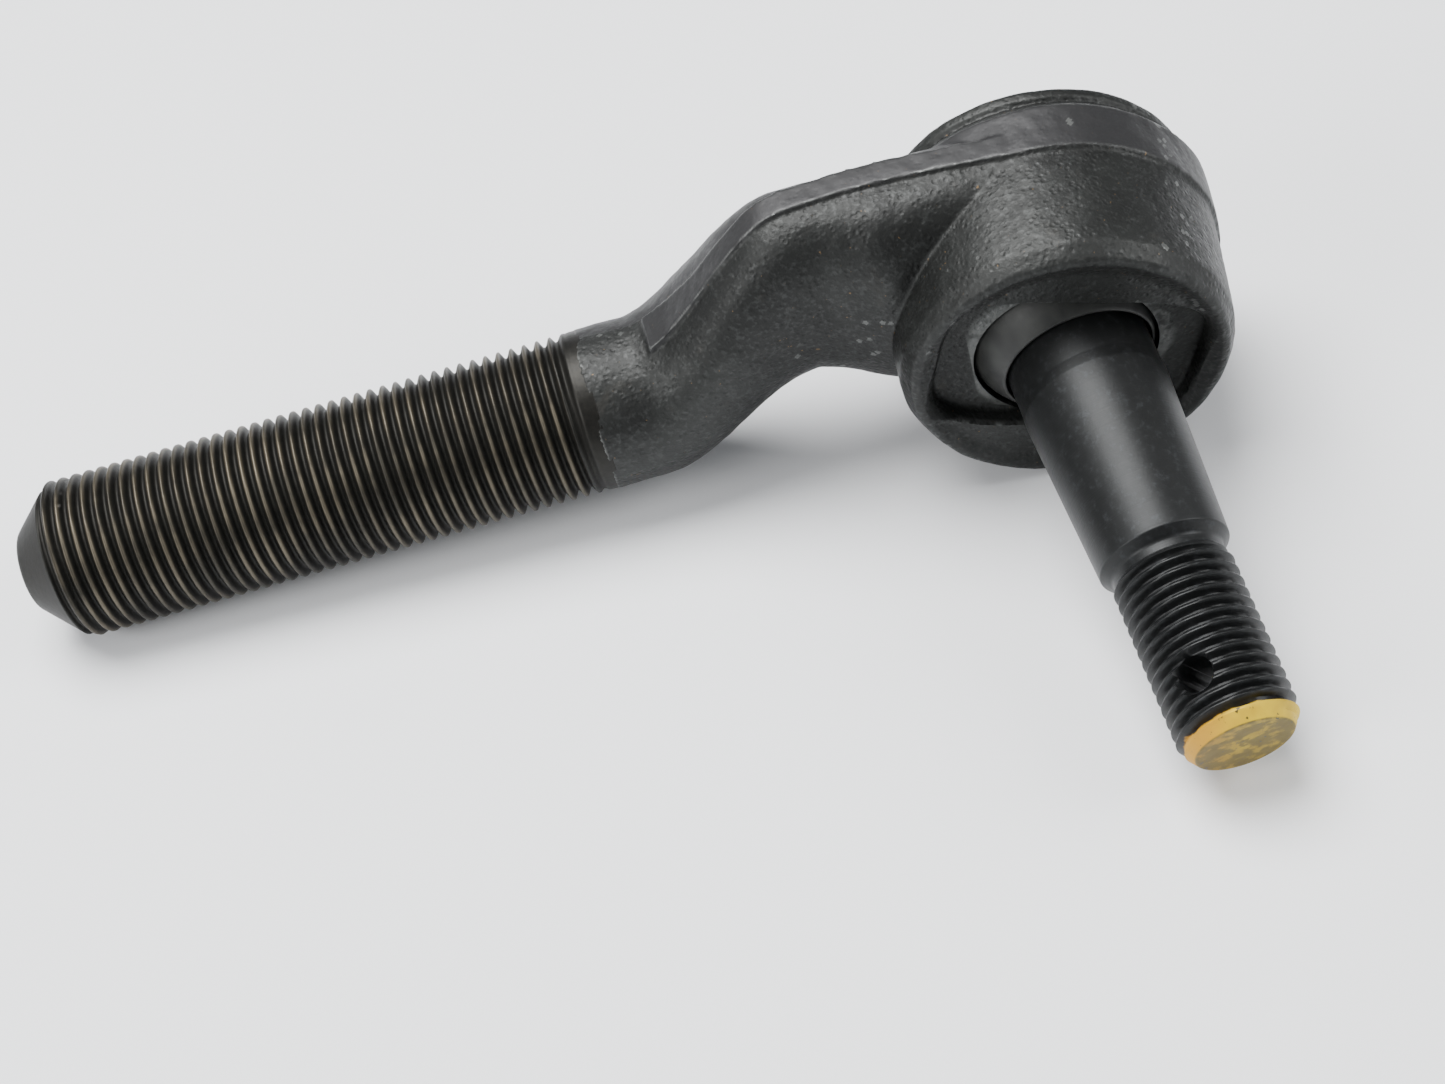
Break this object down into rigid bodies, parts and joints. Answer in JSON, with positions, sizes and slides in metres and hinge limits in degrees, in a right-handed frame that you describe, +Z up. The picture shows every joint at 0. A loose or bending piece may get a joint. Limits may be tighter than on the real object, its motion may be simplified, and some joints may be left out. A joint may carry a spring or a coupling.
{
  "type": "tie rod end",
  "caption": "Tie rod end: forged offset housing with a threaded shank and a half-ball joint that carries a tapered, threaded stud with a cotter pin hole.",
  "frame": {"origin": "middle of the underside of the part as it lies on a bench", "axes": "+Z up; the shank points along -X and the stud out of the housing towards -Y; +X away from the shank"},
  "size_m": [0.1294, 0.074, 0.0359],
  "materials": {
    "forged_steel": "dark forging skin, finely pitted, edges worn brighter",
    "phosphated_steel": "dark phosphate, satin, with yellow paint worn on the tip",
    "bearing_steel": "grey, lightly greased",
    "grey_steel": "plain grey",
    "zinc_plate": "zinc plated, satin",
    "spring_steel": "dark spring steel"
  },
  "bodies": {
    "body": {"housing": "forged_steel", "cover_plate": "zinc_plate", "grease_fitting": "zinc_plate", "preload_spring": "spring_steel", "check_spring": "spring_steel", "check_ball": "grey_steel"},
    "seat": {"pressure_seat": "grey_steel"},
    "bearing": {"half_ball_bearing": "bearing_steel"},
    "stud": {"ball_stud": "phosphated_steel"}
  },
  "joints": [
    {"name": "lean_heading", "type": "hinge", "parent": "body", "child": "seat", "pos_m": [0.04581, 0.01429, 0.01731], "axis": [-0.1218, -0.989, -0.0844], "range_deg": [-13, 53]},
    {"name": "stud_lean", "type": "hinge", "parent": "seat", "child": "bearing", "pos_m": [0.04581, 0.01429, 0.01731], "axis": [0.548, -0.1379, 0.825], "range_deg": [-26, 3]},
    {"name": "stud_spin", "type": "hinge", "parent": "bearing", "child": "stud", "pos_m": [0.04581, 0.01429, 0.01731], "axis": [0.0457, -0.9799, -0.1941], "continuous": true}
  ]
}
